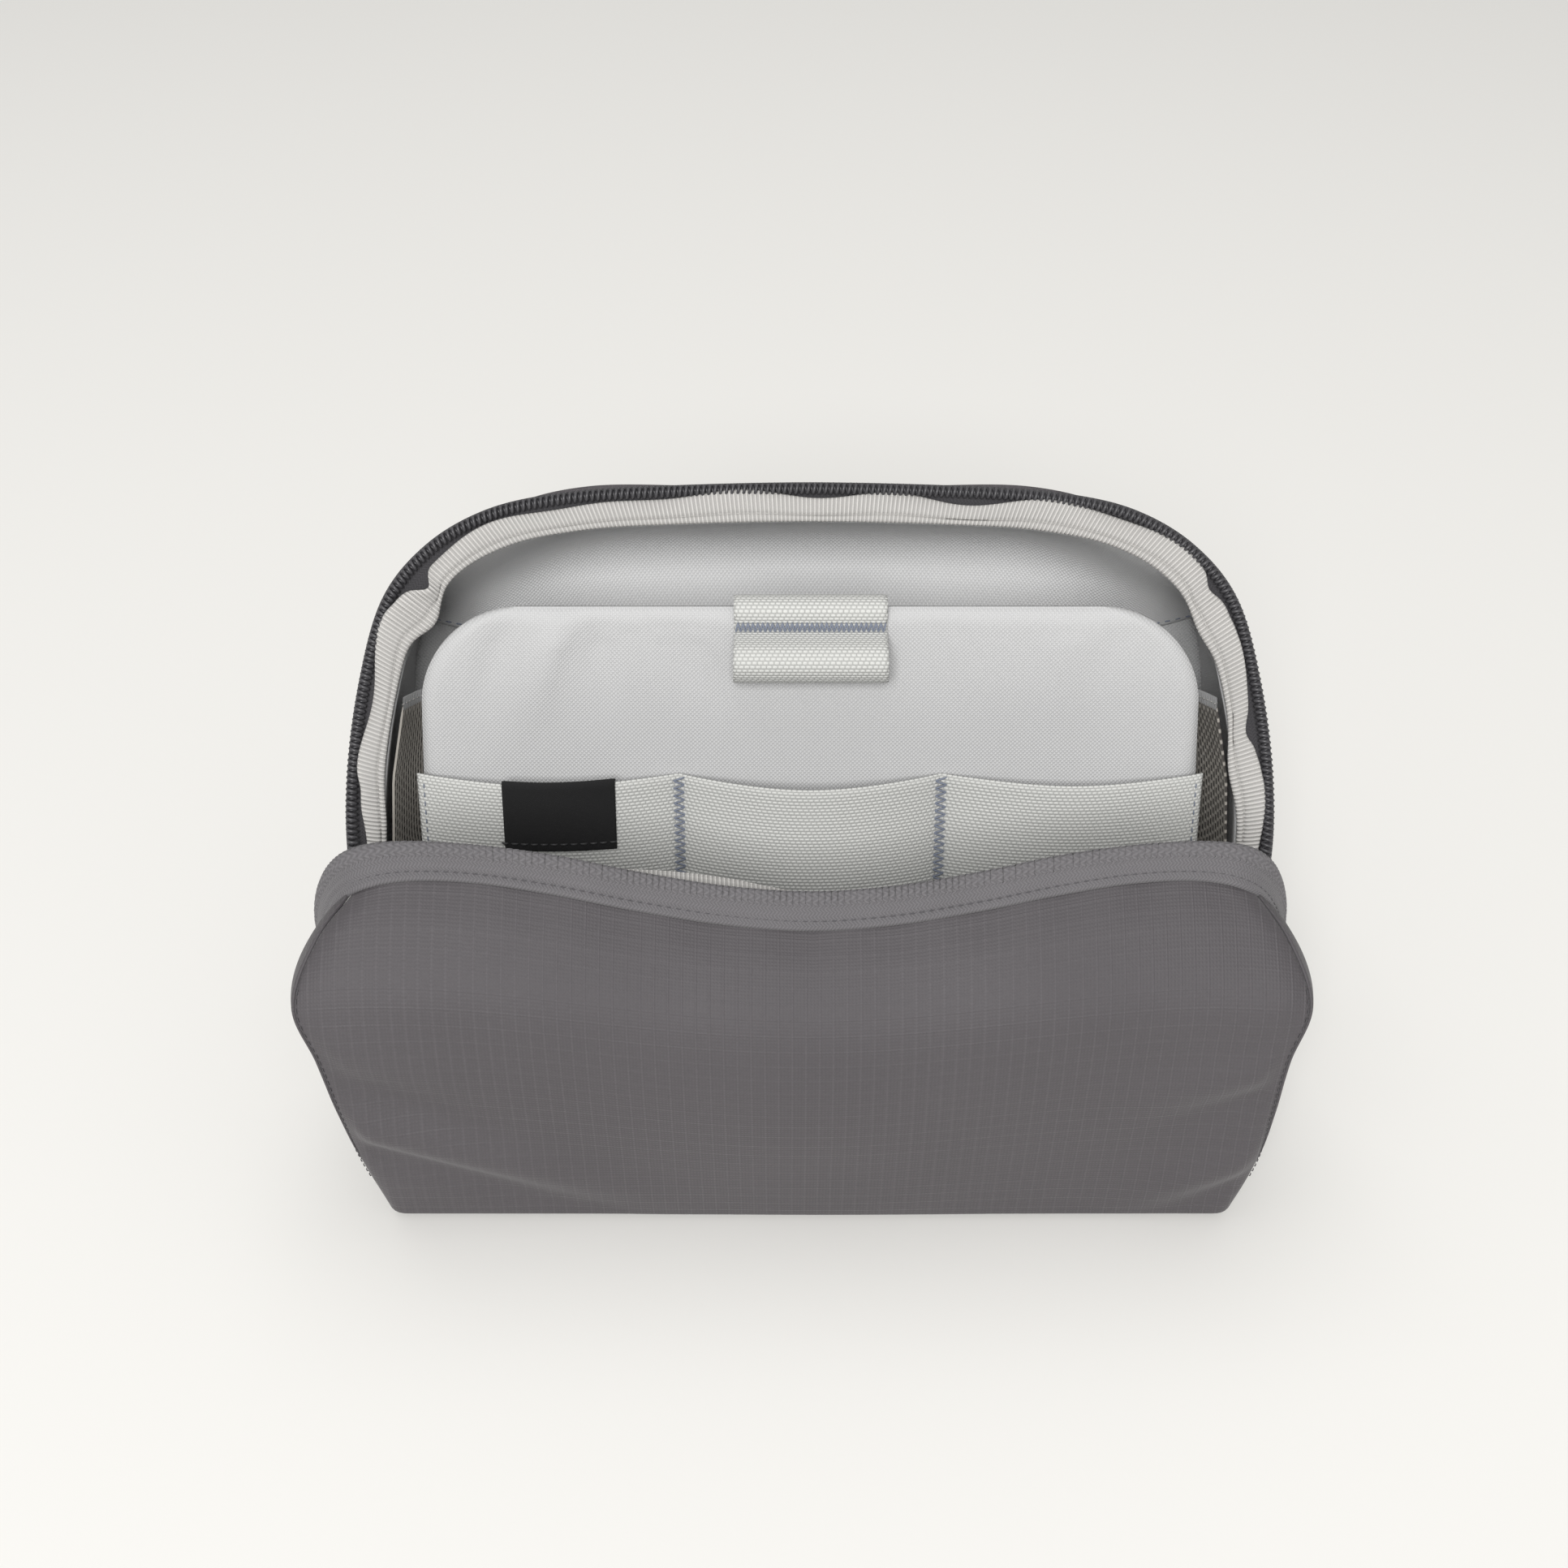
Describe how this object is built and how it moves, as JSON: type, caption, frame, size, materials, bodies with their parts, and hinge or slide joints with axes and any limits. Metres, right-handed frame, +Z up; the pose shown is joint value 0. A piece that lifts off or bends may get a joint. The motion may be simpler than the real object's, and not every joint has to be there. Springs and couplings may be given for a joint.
{
  "type": "cable organizer pouch",
  "caption": "Soft zip-around tech pouch standing open, with a padded organizer panel, elastic pockets, a pen loop and a mesh pocket.",
  "frame": {"origin": "middle of the footprint's bounding box, on the surface the pouch stands on", "axes": "+X along the pouch's width to the right, +Y from the front wall to the back wall, +Z up"},
  "size_m": [0.2428, 0.1534, 0.1475],
  "materials": {
    "outer_ripstop": "warm grey ripstop weave, matt coating",
    "zip_tape": "woven polyester tape, grey",
    "zip_coil": "moulded nylon coil, charcoal, slight gloss",
    "lining": "light cool grey plain weave",
    "grosgrain": "off-white ribbed grosgrain tape",
    "elastic": "pale grey-green twill elastic",
    "mesh": "beige-grey knitted mesh",
    "thread": "blue-grey sewing thread",
    "label": "black woven damask, blank",
    "foam": "light closed-cell foam",
    "board": "plain polyethylene sheet",
    "slider": "dark plated die-cast zinc"
  },
  "bodies": {
    "base": {"base_outer_panel": "outer_ripstop", "base_stiffener_board": "board", "base_lining": "lining", "side_gusset_lower_left": "outer_ripstop", "side_gusset_lower_right": "outer_ripstop", "zip_end_tab_left": "outer_ripstop", "zip_end_tab_right": "outer_ripstop"},
    "front_wall": {"front_outer_panel": "outer_ripstop", "front_lining": "lining", "front_gusset_left": "outer_ripstop", "front_gusset_right": "outer_ripstop", "front_zip_tape": "zip_tape", "front_zip_coil": "zip_coil", "front_binding": "grosgrain"},
    "back_wall": {"back_outer_panel": "outer_ripstop", "back_foam_pad": "foam", "back_lining": "lining", "back_lining_hem": "lining", "mesh_pocket": "mesh", "mesh_pocket_binding": "lining", "back_gusset": "outer_ripstop", "back_gusset_lining": "lining", "back_zip_tape": "zip_tape", "back_zip_coil": "zip_coil", "back_binding": "grosgrain"},
    "organizer": {"organizer_foam": "foam", "organizer_front_cover": "lining", "organizer_back_cover": "lining", "elastic_pocket_band": "elastic", "pocket_divider_stitch_left": "thread", "pocket_divider_stitch_right": "thread", "pen_loop": "elastic", "woven_label": "label"},
    "slider_left": {"zip_slider_left": "slider"},
    "pull_left": {"zip_pull_left": "zip_tape"},
    "slider_right": {"zip_slider_right": "slider"},
    "pull_right": {"zip_pull_right": "zip_tape"}
  },
  "joints": [
    {"name": "front_fold", "type": "hinge", "parent": "base", "child": "front_wall", "pos_m": [0, -0.0667, 0.0016], "axis": [1, 0, 0], "range_deg": [-6, 25]},
    {"name": "back_fold", "type": "hinge", "parent": "base", "child": "back_wall", "pos_m": [0, 0.0193, 0.0016], "axis": [-1, 0, 0], "range_deg": [-4.5, 15]},
    {"name": "organizer_tilt", "type": "hinge", "parent": "base", "child": "organizer", "pos_m": [0, -0.0147, 0.007], "axis": [1, 0, 0], "range_deg": [-4, 14]},
    {"name": "slider_travel_left", "type": "slide", "parent": "base", "child": "slider_left", "axis": [-0.287, 0, 0.9579], "range_m": [0, 0.008]},
    {"name": "pull_swing_left", "type": "hinge", "parent": "slider_left", "child": "pull_left", "pos_m": [-0.1206, -0.0212, 0.0279], "axis": [0, 1, 0], "range_deg": [0, 120]},
    {"name": "slider_travel_right", "type": "slide", "parent": "base", "child": "slider_right", "axis": [0.287, 0, 0.9579], "range_m": [0, 0.008]},
    {"name": "pull_swing_right", "type": "hinge", "parent": "slider_right", "child": "pull_right", "pos_m": [0.1206, -0.0212, 0.0279], "axis": [0, -1, 0], "range_deg": [0, 120]}
  ]
}
